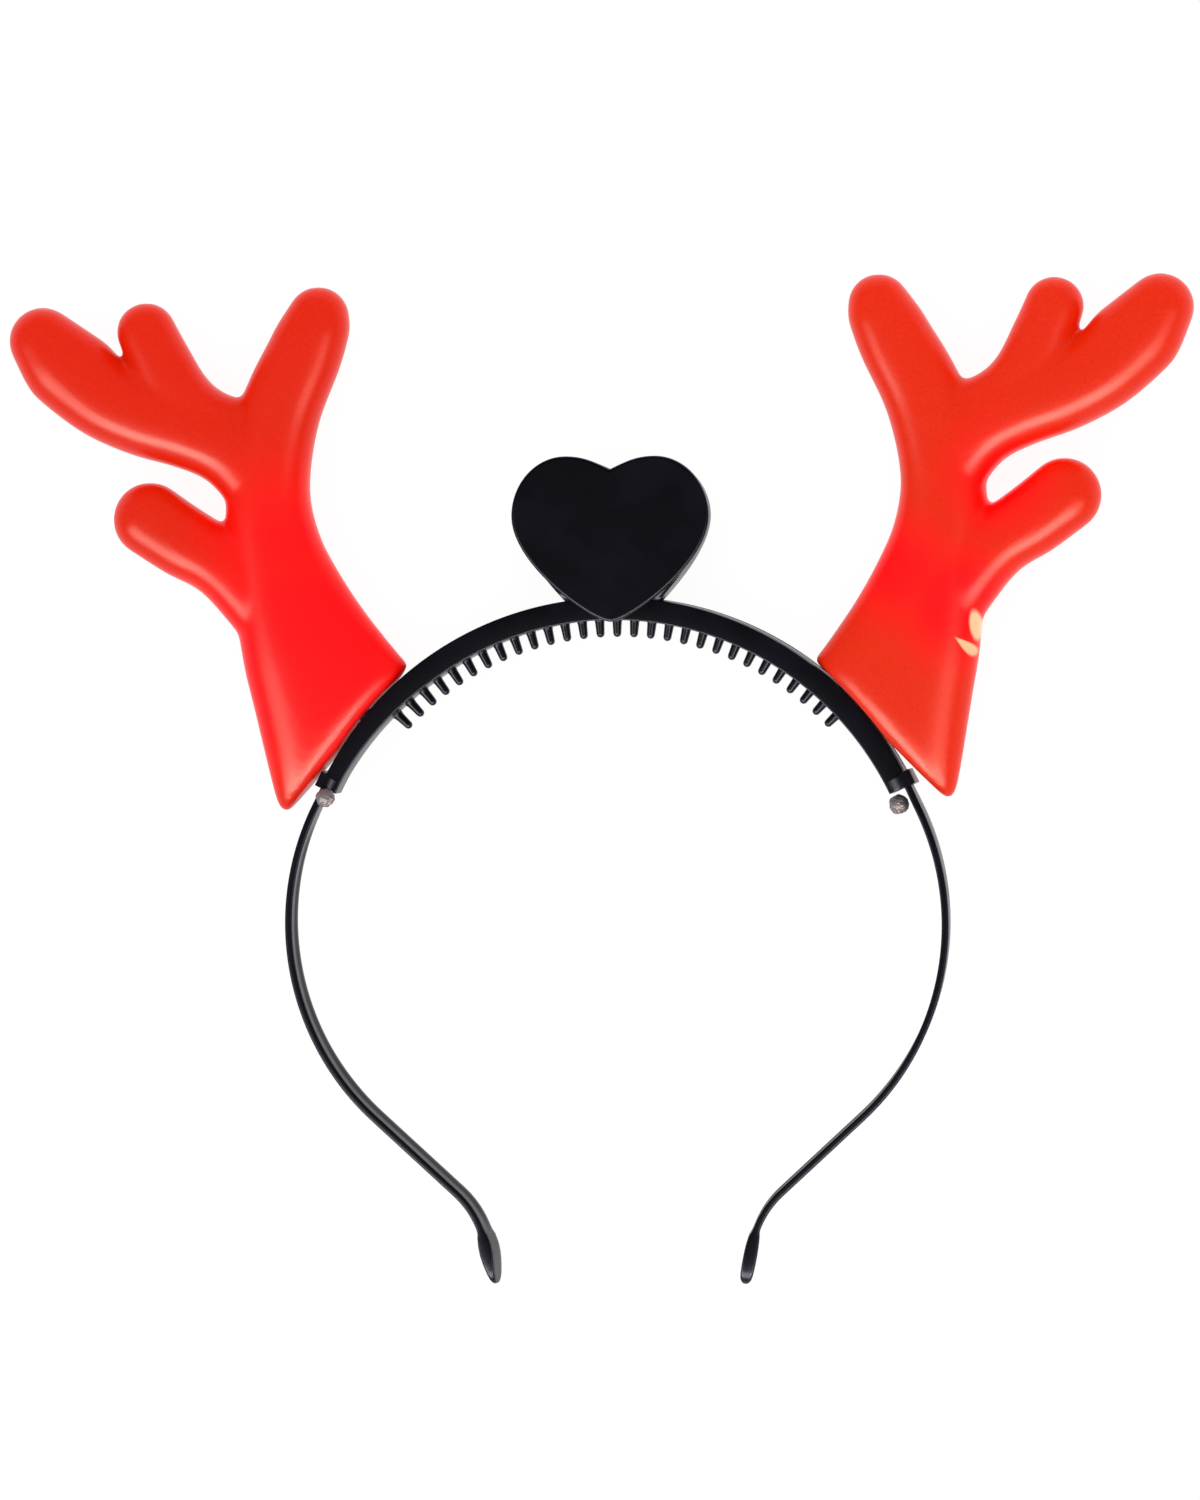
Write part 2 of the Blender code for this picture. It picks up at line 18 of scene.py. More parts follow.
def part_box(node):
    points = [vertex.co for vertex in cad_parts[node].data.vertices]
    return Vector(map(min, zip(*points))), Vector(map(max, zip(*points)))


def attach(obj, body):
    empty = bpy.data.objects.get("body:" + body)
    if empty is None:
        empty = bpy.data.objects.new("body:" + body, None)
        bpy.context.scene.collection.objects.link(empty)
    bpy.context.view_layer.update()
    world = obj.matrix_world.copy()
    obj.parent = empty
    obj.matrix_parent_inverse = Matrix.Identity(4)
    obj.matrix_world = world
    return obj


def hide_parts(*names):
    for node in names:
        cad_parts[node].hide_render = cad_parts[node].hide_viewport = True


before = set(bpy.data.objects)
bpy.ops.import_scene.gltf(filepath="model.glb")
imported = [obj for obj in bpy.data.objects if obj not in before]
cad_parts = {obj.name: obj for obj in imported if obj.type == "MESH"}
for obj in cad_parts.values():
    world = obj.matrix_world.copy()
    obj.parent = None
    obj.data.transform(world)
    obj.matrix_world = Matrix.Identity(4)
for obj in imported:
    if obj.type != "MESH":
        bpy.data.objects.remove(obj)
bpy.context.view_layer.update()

MM = 0.001
ARCH_RADIUS = 60.0 * MM
BODY = "root"

band_low, band_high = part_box("band")
ARCH_CENTRE = Vector(((band_low.x + band_high.x) / 2, band_high.y - ARCH_RADIUS,
                      (band_low.z + band_high.z) / 2))
print("arch centre in mm:", [round(value / MM, 2) for value in ARCH_CENTRE])

# %% [markdown]
# ## Camera
#
# The photograph was taken from a little to the right and a hair above, with a long lens. The
# headband lies on the floor, so the camera looks almost straight down. It is turned by three
# angles that make the drawn outline fall on the photographed one.

# %% Camera
CAMERA_YAW = math.radians(8.4)
CAMERA_PITCH = math.radians(1.5)
CAMERA_ROLL = math.radians(-0.46)
CAMERA_DISTANCE = 2.5
VIEW_HEIGHT = 1500 * 0.182 * MM
VIEW_MIDDLE = Vector((-3.0, 32.2, 0.0)) * MM
SENSOR = 36.0

back = Vector((math.sin(CAMERA_YAW) * math.cos(CAMERA_PITCH), math.sin(CAMERA_PITCH),
               math.cos(CAMERA_YAW) * math.cos(CAMERA_PITCH)))
right = Vector((math.cos(CAMERA_YAW), 0.0, -math.sin(CAMERA_YAW)))
up = back.cross(right)
turned_right = right * math.cos(CAMERA_ROLL) + up * math.sin(CAMERA_ROLL)
turned_up = up * math.cos(CAMERA_ROLL) - right * math.sin(CAMERA_ROLL)

camera_data = bpy.data.cameras.new("camera")
camera_data.sensor_width = SENSOR
camera_data.lens = SENSOR * CAMERA_DISTANCE / VIEW_HEIGHT
camera_data.clip_end = 20.0
camera = bpy.data.objects.new("camera", camera_data)
axes = Matrix((turned_right, turned_up, back)).transposed().to_4x4()
camera.matrix_world = Matrix.Translation(ARCH_CENTRE + VIEW_MIDDLE + back * CAMERA_DISTANCE) @ axes
bpy.context.scene.collection.objects.link(camera)
bpy.context.scene.camera = camera

# %% [markdown]
# ## Helpers for meshes
#
# Most pieces are lofts: rings of points, joined ring by ring. A few small functions draw a loft,
# make an object of it, and freeze its modifiers into a plain mesh. Every mesh is drawn round the
# arch's centre first, and moved to its place as the last step, so that its object can stay at
# the world's origin.

# %% Mesh helpers


def add_loft(bm, rings):
    """Adds one closed body through rings that have the same number of points."""
    loops = [[bm.verts.new(point) for point in ring] for ring in rings]
    for near, far in zip(loops, loops[1:]):
        for i in range(len(near)):
            bm.faces.new((near[i - 1], near[i], far[i], far[i - 1]))
    bm.faces.new(loops[0])
    bm.faces.new(loops[-1])


def make_piece(name, bm, smooth_angle):
    """Makes an object of a bmesh. Edges flatter than the angle are shaded smooth."""
    bmesh.ops.recalc_face_normals(bm, faces=bm.faces)
    mesh = bpy.data.meshes.new(name)
    bm.to_mesh(mesh)
    bm.free()
    mesh.shade_smooth()
    mesh.set_sharp_from_angle(angle=math.radians(smooth_angle))
    piece = bpy.data.objects.new(name, mesh)
    bpy.context.scene.collection.objects.link(piece)
    return piece


def freeze(piece):
    """Turns what the modifiers make into the piece's own plain mesh."""
    bpy.context.view_layer.update()
    graph = bpy.context.evaluated_depsgraph_get()
    mesh = bpy.data.meshes.new_from_object(piece.evaluated_get(graph))
    piece.modifiers.clear()
    piece.data = mesh
    return piece


def remove(*objects):
    for obj in objects:
        bpy.data.objects.remove(obj)


def cut(piece, cutter, operation="DIFFERENCE"):
    modifier = piece.modifiers.new(cutter.name, "BOOLEAN")
    modifier.operation = operation
    modifier.solver = "EXACT"
    modifier.object = cutter


def settle(piece, material, slot, *nodes):
    """Moves a piece to its place in the frame, gives it its material, and hides the CAD nodes it
    stands for.
    """
    piece.data.transform(Matrix.Translation(ARCH_CENTRE))
    piece.data.materials.clear()
    piece.data.materials.append(material)
    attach(piece, BODY)
    if nodes:
        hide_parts(*nodes)
    print(piece.name, len(piece.data.polygons), "faces")


def arch_direction(angle):
    """The unit vector from the arch's centre at this angle from the crown, towards +X."""
    return Vector((math.sin(angle), math.cos(angle), 0.0))


def arch_ring(angle, profile):
    """Points of a profile of (radius, z), at this angle from the crown."""
    return [arch_direction(angle) * radius + Vector((0, 0, z)) for radius, z in profile]


# %% [markdown]
# ## Helpers for materials
#
# Colours are written as the hex values that a picture editor shows, and one function turns them
# to the linear values that Blender's nodes take. A second small function adds a node.

# %% Material helpers


def srgb(colour):
    """The linear value of an sRGB hex colour."""
    channels = [int(colour[i:i + 2], 16) / 255 for i in (1, 3, 5)]
    linear = [c / 12.92 if c <= 0.04045 else ((c + 0.055) / 1.055) ** 2.4 for c in channels]
    return (*linear, 1.0)


def add_node(tree, kind, inputs=None, **options):
    """Adds a node with these options, and sets or links its inputs."""
    node = tree.nodes.new(kind)
    for name, value in options.items():
        setattr(node, name, value)
    for key, value in (inputs or {}).items():
        if isinstance(value, bpy.types.NodeSocket):
            tree.links.new(value, node.inputs[key])
        else:
            node.inputs[key].default_value = value
    return node


def new_material(name):
    """A material with its node tree and its Principled shader."""
    material = bpy.data.materials.new(name)
    material.use_nodes = True
    return material, material.node_tree, material.node_tree.nodes["Principled BSDF"]


def add_grain(tree, shader, place, size, depth):
    """Bumps of this size and depth, as a mould's surface leaves them."""
    grain = add_node(tree, "ShaderNodeTexNoise",
                     {"Vector": place, "Scale": 1 / size, "Detail": 3.0, "Roughness": 0.6})
    bump = add_node(tree, "ShaderNodeBump",
                    {"Height": grain.outputs["Fac"], "Strength": 1.0, "Distance": depth})
    tree.links.new(bump.outputs["Normal"], shader.inputs["Normal"])
    return grain.outputs["Fac"]


# %% [markdown]
# ## Black polypropylene
#
# The strip, the channel and the heart are injection moulded in black polypropylene. It is a
# very dark, slightly violet grey with a satin skin: the mould's fine spark texture breaks its
# reflections up. Fingers leave faint paler smudges, so the roughness and the colour both drift
# over a few millimetres. The shine is tinted a little blue, which undoes the warm colour of the
# soft boxes.

# %% Black polypropylene
SMUDGE_SIZE = 9 * MM
BLACK_CLEAN = "#08070D"
BLACK_SMUDGED = "#17151F"
BLACK_ROUGHNESS = (0.34, 0.28)
BLACK_SHINE = 0.18
BLACK_SHINE_TINT = (0.62, 0.68, 1.0, 1.0)


def make_black_polypropylene():
    material, tree, shader = new_material("black_polypropylene")
    place = add_node(tree, "ShaderNodeTexCoord").outputs["Object"]
    smudge = add_node(tree, "ShaderNodeTexNoise",
                      {"Vector": place, "Scale": 1 / SMUDGE_SIZE, "Detail": 2.0})
    colour = add_node(tree, "ShaderNodeMapRange",
                      {"Value": smudge.outputs["Fac"], "From Min": 0.4, "From Max": 0.75})
    mixed = add_node(tree, "ShaderNodeMix",
                     {0: colour.outputs["Result"], 6: srgb(BLACK_CLEAN), 7: srgb(BLACK_SMUDGED)},
                     data_type="RGBA")
    tree.links.new(mixed.outputs[2], shader.inputs["Base Color"])
    rough = add_node(tree, "ShaderNodeMapRange",
                     {"Value": smudge.outputs["Fac"], "From Min": 0.35, "From Max": 0.7,
                      "To Min": BLACK_ROUGHNESS[0], "To Max": BLACK_ROUGHNESS[1]})
    tree.links.new(rough.outputs["Result"], shader.inputs["Roughness"])
    shader.inputs["Specular IOR Level"].default_value = BLACK_SHINE
    shader.inputs["Specular Tint"].default_value = BLACK_SHINE_TINT
    shader.inputs["IOR"].default_value = 1.49
    add_grain(tree, shader, place, 0.35 * MM, 0.012 * MM)
    return material


black_polypropylene = make_black_polypropylene()

# %% [markdown]
# ## Soft red PVC, lit from inside
#
# The antlers are slush moulded in soft red PVC. The skin is about a millimetre thick and lets
# some light through, so the lamp inside turns the red round it fuller and cooler, and burns
# nearly white where it touches the wall. That light is painted on the skin, in its colour and its
# emission: each glow is a soft ball of painted light, measured from a point inside the antler,
# which keeps it in the same place from every side.

# %% Glow and hot spots
GlowBall = namedtuple("GlowBall", "x y z reach strength")
HotSpot = namedtuple("HotSpot", "x y z turn half_long half_wide widens")


def ball_of_light(tree, place, ball):
    """A value that fades from the ball's strength at its middle to nothing at its reach."""
    middle = ARCH_CENTRE + Vector((ball.x, ball.y, ball.z)) * MM
    distance = add_node(tree, "ShaderNodeVectorMath", {0: place, 1: middle},
                        operation="DISTANCE").outputs["Value"]
    fade = add_node(tree, "ShaderNodeMapRange",
                    {"Value": distance, "From Min": 0.0, "From Max": ball.reach * MM,
                     "To Min": ball.strength, "To Max": 0.0}, interpolation_type="SMOOTHSTEP")
    return fade.outputs["Result"]


def hot_spot(tree, place, spot):
    """A painted hot spot where the lamp's beam strikes the wall: an oval, or a wedge that widens
    upwards.
    """
    middle = ARCH_CENTRE + Vector((spot.x, spot.y, spot.z)) * MM
    turned = add_node(tree, "ShaderNodeMapping",
                      {"Vector": place, "Location": middle,
                       "Rotation": (0.0, 0.0, math.radians(spot.turn)),
                       "Scale": (spot.half_wide * MM, spot.half_long * MM, 6 * MM)},
                      vector_type="TEXTURE")
    parts = add_node(tree, "ShaderNodeSeparateXYZ", {"Vector": turned.outputs["Vector"]})
    width = add_node(tree, "ShaderNodeMath", {0: parts.outputs["Y"], 1: spot.widens, 2: 1.0},
                     operation="MULTIPLY_ADD")
    across = add_node(tree, "ShaderNodeMath", {0: parts.outputs["X"], 1: width.outputs[0]},
                      operation="DIVIDE")
    shape = add_node(tree, "ShaderNodeCombineXYZ",
                     {"X": across.outputs[0], "Y": parts.outputs["Y"], "Z": parts.outputs["Z"]})
    size = add_node(tree, "ShaderNodeVectorMath", {0: shape.outputs["Vector"]},
                    operation="LENGTH").outputs["Value"]
    fade = add_node(tree, "ShaderNodeMapRange",
                    {"Value": size, "From Min": 0.7, "From Max": 1.2, "To Min": 1.0,
                     "To Max": 0.0}, interpolation_type="SMOOTHSTEP")
    return fade.outputs["Result"]


def greatest(tree, values):
    total = values[0]
    for value in values[1:]:
        total = add_node(tree, "ShaderNodeMath", {0: total, 1: value},
                         operation="MAXIMUM").outputs[0]
    return total


# %% [markdown]
# ## The red itself
#
# Where no lamp reaches it, the PVC is an orange red with a soft sheen and a fine grain. The glow
# value paints the lamp's light on: it turns that red to a fuller and cooler one, and gives it a
# little light of its own. The two antlers differ: the left one glows all over its base, and the
# right one only between its stem and its lower tine, with two painted hot spots where the lamp
# lies against the wall. The right antler's plain red is also a little lighter than the left's.

# %% Soft red PVC
LIT_RED = "#FF0004"
GLOW_RED = "#FF0018"
HOT_WHITE = "#FFCE9C"
GLOW_STRENGTH = 0.2
HOT_STRENGTH = 0.75
PVC_ROUGHNESS = 0.3
PVC_SHINE = 0.16


def make_red_pvc(name, plain_dark, plain_light, balls, spots=()):
    material, tree, shader = new_material(name)
    place = add_node(tree, "ShaderNodeTexCoord").outputs["Object"]
    glow = greatest(tree, [ball_of_light(tree, place, ball) for ball in balls])
    grain = add_grain(tree, shader, place, 0.5 * MM, 0.02 * MM)
    speckle = add_node(tree, "ShaderNodeMapRange",
                       {"Value": grain, "From Min": 0.3, "From Max": 0.7})
    plain = add_node(tree, "ShaderNodeMix",
                     {0: speckle.outputs["Result"], 6: srgb(plain_dark), 7: srgb(plain_light)},
                     data_type="RGBA").outputs[2]
    # Painted lamp light: the glow turns the plain red to the lit red, and below it sets the
    # emission.
    lit = add_node(tree, "ShaderNodeMix", {0: glow, 6: plain, 7: srgb(LIT_RED)},
                   data_type="RGBA").outputs[2]
    tree.links.new(lit, shader.inputs["Base Color"])
    strength = add_node(tree, "ShaderNodeMath", {0: glow, 1: GLOW_STRENGTH},
                        operation="MULTIPLY")
    # Painted hot spots where the lamp touches the wall: a nearly white emission.
    if spots:
        hot = greatest(tree, [hot_spot(tree, place, spot) for spot in spots])
        colour = add_node(tree, "ShaderNodeMix", {0: hot, 6: srgb(GLOW_RED), 7: srgb(HOT_WHITE)},
                          data_type="RGBA")
        tree.links.new(colour.outputs[2], shader.inputs["Emission Color"])
        strength = add_node(tree, "ShaderNodeMath",
                            {0: hot, 1: HOT_STRENGTH, 2: strength.outputs[0]},
                            operation="MULTIPLY_ADD")
    else:
        shader.inputs["Emission Color"].default_value = srgb(GLOW_RED)
    tree.links.new(strength.outputs[0], shader.inputs["Emission Strength"])
    shader.inputs["Roughness"].default_value = PVC_ROUGHNESS
    shader.inputs["IOR"].default_value = 1.5
    shader.inputs["Specular IOR Level"].default_value = PVC_SHINE
    return material


# The glow balls and hot spots below are painted lamp light.
red_pvc_left = make_red_pvc("red_pvc_left", "#EC1E00", "#F42804", (
    GlowBall(-57.0, 50.0, 4.0, 35.0, 1.45),
    GlowBall(-60.0, 70.0, 4.0, 24.0, 1.0),
))
red_pvc_right = make_red_pvc("red_pvc_right", "#F22402", "#FA3008", (
    GlowBall(63.5, 58.5, 5.0, 17.0, 1.35),
    GlowBall(53.5, 64.5, 4.0, 16.5, 1.15),
    GlowBall(71.0, 80.5, 0.0, 18.0, 1.1),
), (
    HotSpot(66.5, 54.6, 3.0, 6.0, 3.1, 1.15, 0.0),
    HotSpot(65.0, 50.8, 5.0, 229.0, 2.8, 0.9, 0.75),
))
print("red materials:", red_pvc_left.name, red_pvc_right.name)

# %% [markdown]
# ## Set glue and the lamp's lens
#
# Hot-melt glue closes each end of the channel. It sets as a cloudy grey lump with a wet gloss
# over a rough surface. The lamp's lens is clear epoxy, bright with its own light.

# %% Glue and lens


def make_set_glue():
    material, tree, shader = new_material("set_glue")
    place = add_node(tree, "ShaderNodeTexCoord").outputs["Object"]
    cloud = add_grain(tree, shader, place, 0.9 * MM, 0.12 * MM)
    mixed = add_node(tree, "ShaderNodeMix",
                     {0: cloud, 6: srgb("#2E272C"), 7: srgb("#94848C")}, data_type="RGBA")
    tree.links.new(mixed.outputs[2], shader.inputs["Base Color"])
    shader.inputs["Roughness"].default_value = 0.45
    return material


def make_lamp_lens():
    material, _, shader = new_material("lamp_epoxy")
    shader.inputs["Base Color"].default_value = srgb("#FFE0C8")
    shader.inputs["Emission Color"].default_value = srgb("#FFC8A0")
    shader.inputs["Emission Strength"].default_value = 2.0
    shader.inputs["Roughness"].default_value = 0.1
    return material


set_glue = make_set_glue()
lamp_epoxy = make_lamp_lens()

# %% [markdown]
# ## The strip
#
# One flat strip runs from tip to tip. Its centre line is a chain of arcs, which gives the arms
# the even curves of a moulded band, and each arm turns its inner face a little to the front. The
# section has round edges, a shallow groove along its inner face, and thickens to a paddle at
# the tip, so it is lofted through many sections.

# %% The strip
Run = namedtuple("Run", "length turn steps")
ARCH_HALF_ANGLE = math.radians(64.5)
BAND_THICK = 1.3 * MM
BAND_CENTRE_RADIUS = ARCH_RADIUS - BAND_THICK / 2
ARCH_LENGTH = BAND_CENTRE_RADIUS * ARCH_HALF_ANGLE
BAND_RUNS = (
    Run(ARCH_LENGTH / MM, math.degrees(ARCH_HALF_ANGLE), 40),
    Run(4.6, 0.0, 3),
    Run(61.0, 73.0, 44),
    Run(20.4, 0.0, 8),
    Run(10.9, -36.0, 12),
    Run(7.5, 0.0, 4),
)
BAND_WIDTH_IN_CHANNEL = 4.8 * MM
BAND_WIDTH = 6.0 * MM
ARM_WIDENS = (ARCH_LENGTH + 0.5 * MM, ARCH_LENGTH + 5.0 * MM)
ARM_TWIST = math.radians(7.0)
ARM_TWISTS = (70.0 * MM, 125.0 * MM)
EDGE_RADIUS = 0.4 * MM
EDGE_STEPS = 4
GROOVE_HALF_WIDTH = 0.9 * MM
GROOVE_DEEP = 0.22 * MM
GROOVE_RUNS = (ARCH_LENGTH + 6 * MM, ARCH_LENGTH + 12 * MM)

# %% [markdown]
# ## The ends of the strip
#
# Near each tip the strip swells to a paddle, so that the end doesn't press a sharp edge behind
# the ear. The right one ends bluntly and the left one tapers. Each row of a table
# says how thick the strip is this far from its tip, and which share of its width is left.

# %% The paddles
Paddle = namedtuple("Paddle", "from_tip thick width")
RIGHT_PADDLE = (
    Paddle(0.0, 0.7, 0.30),
    Paddle(0.35, 1.45, 0.58),
    Paddle(0.9, 2.0, 0.8),
    Paddle(1.7, 2.3, 0.93),
    Paddle(2.6, 2.42, 1.0),
    Paddle(4.0, 2.5, 1.05),
    Paddle(5.5, 2.5, 1.06),
    Paddle(7.2, 2.35, 1.04),
    Paddle(8.8, 2.0, 1.02),
    Paddle(9.6, 1.5, 1.0),
    Paddle(10.4, BAND_THICK / MM, 1.0),
)
LEFT_PADDLE = (
    Paddle(0.0, 0.4, 0.30),
    Paddle(0.35, 0.75, 0.58),
    Paddle(0.9, 1.0, 0.8),
    Paddle(1.7, 1.3, 0.93),
    Paddle(2.6, 1.6, 1.0),
    Paddle(4.0, 2.05, 1.05),
    Paddle(5.5, 2.4, 1.06),
    Paddle(7.2, 2.4, 1.04),
    Paddle(8.8, 2.0, 1.02),
    Paddle(9.6, 1.5, 1.0),
    Paddle(10.4, BAND_THICK / MM, 1.0),
)


def between(value, limits, results):
    """The result that lies between two, by where the value lies between its limits."""
    share = min(max((value - limits[0]) / (limits[1] - limits[0]), 0.0), 1.0)
    return results[0] + (results[1] - results[0]) * share


def paddle_at(paddle, from_tip):
    """The strip's thickness in millimetres and its share of the width, near the tip."""
    for near, far in zip(paddle, paddle[1:]):
        if from_tip <= far.from_tip:
            span = (near.from_tip, far.from_tip)
            return (between(from_tip, span, (near.thick, far.thick)),
                    between(from_tip, span, (near.width, far.width)))
    return paddle[-1].thick, paddle[-1].width


# %% [markdown]
# ## Along the strip
#
# The strip is one loft. Each ring of it is a flat outline with round edges, set square to the
# centre line, which is followed arc by arc from the crown to the tip.

# %% The strip's rings


def band_at(distance):
    """Centre and heading of the right half of the band, this far from the crown."""
    point = Vector((0.0, BAND_CENTRE_RADIUS, 0.0))
    heading = 0.0
    for run in BAND_RUNS:
        length = run.length * MM
        step = min(distance, length)
        half_turn = math.radians(run.turn) * step / length / 2
        chord = step if half_turn == 0 else step * math.sin(half_turn) / half_turn
        heading -= half_turn
        point += chord * Vector((math.cos(heading), math.sin(heading), 0.0))
        heading -= half_turn
        distance -= step
    return point, heading


def strip_section(half_width, half_thick, groove):
    """A flat strip's outline with round edges, and a groove along the inner side."""
    edge = min(EDGE_RADIUS, half_thick * 0.9, half_width * 0.9)
    corners = ((half_width - edge, half_thick - edge, 90),
               (half_width - edge, edge - half_thick, 0),
               (edge - half_width, edge - half_thick, -90),
               (edge - half_width, half_thick - edge, -180))
    points = []
    for x, y, start in corners:
        if start == -90:
            for share in (1.6, 1.0, 0.0, -1.0, -1.6):
                deep = groove if abs(share) < 1.1 else 0.0
                wide = min(GROOVE_HALF_WIDTH, half_width * 0.3)
                points.append((share * wide, deep - half_thick))
        for step in range(EDGE_STEPS + 1):
            angle = math.radians(start - 90 * step / EDGE_STEPS)
            points.append((x + edge * math.cos(angle), y + edge * math.sin(angle)))
    return points


def band_ring(distance, length, paddle):
    """The strip's section, turned by the twist of the arm."""
    point, heading = band_at(distance)
    thick, share = paddle_at(paddle, (length - distance) / MM)
    width = between(distance, ARM_WIDENS, (BAND_WIDTH_IN_CHANNEL, BAND_WIDTH)) * share
    twist = between(distance, ARM_TWISTS, (0.0, ARM_TWIST))
    groove = between(distance, GROOVE_RUNS, (0.0, GROOVE_DEEP))
    groove *= between(length - distance, (9 * MM, 14 * MM), (0.0, 1.0))
    outward = Vector((-math.sin(heading), math.cos(heading), 0.0))
    front = Vector((0, 0, 1))
    across = front * math.cos(twist) + outward * math.sin(twist)
    through = outward * math.cos(twist) - front * math.sin(twist)
    return [point + across * a + through * b
            for a, b in strip_section(width / 2, thick * MM / 2, groove)]


# %% The whole strip


def make_band():
    length = sum(run.length for run in BAND_RUNS) * MM
    stations = [0.0]
    start = 0.0
    for run in BAND_RUNS:
        stations += [start + run.length * MM * (i + 1) / run.steps for i in range(run.steps)]
        start += run.length * MM
    stations = [s for s in stations if s < length - (RIGHT_PADDLE[-1].from_tip + 0.5) * MM]
    stations += [length - row.from_tip * MM for row in reversed(RIGHT_PADDLE)]
    rings = [band_ring(s, length, RIGHT_PADDLE) for s in stations]
    others = [[Vector((-p.x, p.y, p.z)) for p in band_ring(s, length, LEFT_PADDLE)]
              for s in reversed(stations[1:])]
    bm = bmesh.new()
    add_loft(bm, others + rings)
    return make_piece("strip", bm, 50)


settle(make_band(), black_polypropylene, "black_plastic", "band")

# %% [markdown]
# ## The comb channel
#
# A U-shaped channel clips over the arch from the inside. It is widest at the crown and narrows
# to its ends, where a collar closes over the strip, and it is thinner at its left end. Its edges
# are rounded in the profile itself, which costs fewer faces than a bevel on every edge.

# %% The channel
CHANNEL_WIDTH = 8.8 * MM
CHANNEL_END_WIDTH = 7.2 * MM
CHANNEL_DEEP = 4.1 * MM
CHANNEL_LEFT_END_DEEP = 3.1 * MM
LEFT_END_THINS = (math.radians(-61.0), math.radians(-36.0))
CHANNEL_WALL = 0.9 * MM
CHANNEL_STEPS = 129
CHANNEL_EDGE = 0.3 * MM
COLLAR_LENGTH = 2.6 * MM
COLLAR_THICK = 0.7 * MM
COLLAR_PROUD = 0.15 * MM
COLLAR_EDGE = 0.5 * MM
GAP = 0.3 * MM


def channel_half_width(angle):
    """The channel is widest at the crown and narrows evenly to its ends."""
    share = min(abs(angle) / ARCH_HALF_ANGLE, 1.0)
    return (CHANNEL_WIDTH + (CHANNEL_END_WIDTH - CHANNEL_WIDTH) * share) / 2


def rounded_profile(points, rounded, radius):
    """The profile with some of its corners turned to short arcs."""
    made = []
    for i, point in enumerate(points):
        here, before = Vector(point), Vector(points[i - 1])
        after = Vector(points[(i + 1) % len(points)])
        if i not in rounded:
            made.append(point)
            continue
        start = here + (before - here).normalized() * radius
        end = here + (after - here).normalized() * radius
        for step in range(4):
            t = step / 3
            made.append(tuple(start * (1 - t) ** 2 + here * (2 * t * (1 - t)) + end * t ** 2))
    return made


# %% The collars


def make_collar(side):
    """A bridge over the strip at one end of the channel, a little proud of its walls."""
    low = ARCH_RADIUS + GAP
    high = low + COLLAR_THICK
    foot = ARCH_RADIUS - CHANNEL_WALL
    start = ARCH_HALF_ANGLE - COLLAR_LENGTH / ARCH_RADIUS
    rings = []
    for angle in (start, ARCH_HALF_ANGLE + COLLAR_PROUD / ARCH_RADIUS):
        outer = channel_half_width(angle) + COLLAR_PROUD
        inside = outer - CHANNEL_WALL
        profile = ((high, -outer), (high, outer), (foot, outer), (foot, inside), (low, inside),
                   (low, -inside), (foot, -inside), (foot, -outer))
        rings.append(arch_ring(side * angle, rounded_profile(profile, (0, 1), COLLAR_EDGE)))
    bm = bmesh.new()
    add_loft(bm, rings)
    return make_piece("collar", bm, 40)


# %% The whole channel


def make_channel():
    rings = []
    for i in range(CHANNEL_STEPS + 1):
        angle = ARCH_HALF_ANGLE * (2 * i / CHANNEL_STEPS - 1)
        inner = ARCH_RADIUS - between(angle, LEFT_END_THINS, (CHANNEL_LEFT_END_DEEP, CHANNEL_DEEP))
        floor = inner + CHANNEL_WALL
        half = channel_half_width(angle)
        inside = half - CHANNEL_WALL
        profile = ((inner, -half), (ARCH_RADIUS, -half), (ARCH_RADIUS, -inside),
                   (floor, -inside), (floor, inside), (ARCH_RADIUS, inside),
                   (ARCH_RADIUS, half), (inner, half))
        rings.append(arch_ring(angle, rounded_profile(profile, (0, 1, 6, 7), CHANNEL_EDGE)))
    bm = bmesh.new()
    add_loft(bm, rings)
    channel = make_piece("channel", bm, 50)
    collars = [make_collar(side) for side in (-1, 1)]
    for collar in collars:
        cut(channel, collar, "UNION")
    freeze(channel)
    remove(*collars)
    return channel


settle(make_channel(), black_polypropylene, "black_plastic", "comb_channel")

# %% [markdown]
# ## The comb teeth
#
# Twenty-nine round-nosed pegs stand on the channel's inner face, set back from the front edge.
# They repeat round an arc, which is a job for Geometry Nodes: a line of points is bent to the
# arc, one tooth is placed on each, and the copies are made real, so that the result is a plain
# mesh.

# %% The teeth
TOOTH_COUNT = 29
TOOTH_PITCH = math.radians(3.31)
TOOTH_TIP_RADIUS = 52.7 * MM
TOOTH_WIDTH = 1.7 * MM
TOOTH_DEEP = 2.4 * MM
TOOTH_TAPER = 0.87
TOOTH_Z = -2.4 * MM
TOOTH_SIDES = 20
TOOTH_SUNK = 0.3 * MM
TOOTH_ROOT_RADIUS = ARCH_RADIUS - CHANNEL_DEEP + TOOTH_SUNK


def make_tooth():
    """One tooth that hangs down from the origin, with a flared root and a round nose."""
    length = TOOTH_ROOT_RADIUS - TOOTH_TIP_RADIUS
    nose = TOOTH_WIDTH * TOOTH_TAPER * 0.5
    stations = [(0.0, 1.25), (0.35 * MM, 1.1), (0.8 * MM, 1.0), (length - nose, TOOTH_TAPER)]
    for step in range(1, 5):
        angle = math.pi / 2 * step / 4.4
        stations.append((length - nose + nose * math.sin(angle), TOOTH_TAPER * math.cos(angle)))
    rings = []
    for along, size in stations:
        rings.append([Vector((TOOTH_WIDTH / 2 * size * math.cos(math.tau * i / TOOTH_SIDES),
                              -along,
                              TOOTH_DEEP / 2 * size * math.sin(math.tau * i / TOOTH_SIDES)))
                      for i in range(TOOTH_SIDES)])
    bm = bmesh.new()
    add_loft(bm, rings)
    return make_piece("tooth_pattern", bm, 60)


# %% The tree that repeats a tooth


